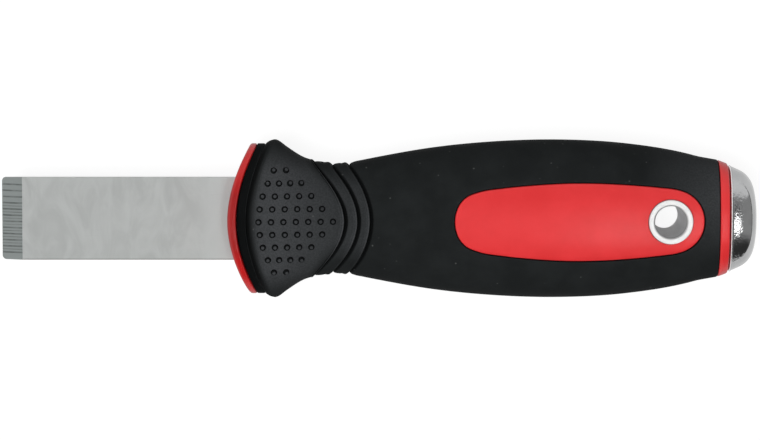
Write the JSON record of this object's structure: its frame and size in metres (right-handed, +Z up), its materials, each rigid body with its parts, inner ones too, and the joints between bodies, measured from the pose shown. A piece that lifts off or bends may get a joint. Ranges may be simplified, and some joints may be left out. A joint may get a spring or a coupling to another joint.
{
  "type": "blade scraper",
  "caption": "Fixed-blade hand scraper: flat bevelled steel blade, flanged guard, soft-grip handle with a lined hang hole, and a steel strike cap.",
  "frame": {"origin": "centre of the bounding box's underside: the lower panel touches z = 0, half way along the tool's length", "axes": "+X along the tool from the cutting edge to the strike cap, +Y across the blade, +Z up out of the bevelled face"},
  "size_m": [0.1826, 0.0384, 0.0256],
  "materials": {
    "blade_steel": "satin ground steel",
    "red_plastic": "semi-gloss moulded plastic",
    "black_rubber": "matt soft moulded rubber",
    "bright_steel": "polished and plated",
    "eyelet_metal": "pale satin metal"
  },
  "bodies": {
    "root": {"blade": "blade_steel", "core_shell_upper": "red_plastic", "core_shell_lower": "red_plastic", "grip_overmould": "black_rubber", "hang_eyelet": "eyelet_metal", "eyelet_ring": "eyelet_metal", "strike_cap": "bright_steel", "cap_pin": "blade_steel"}
  },
  "joints": []
}
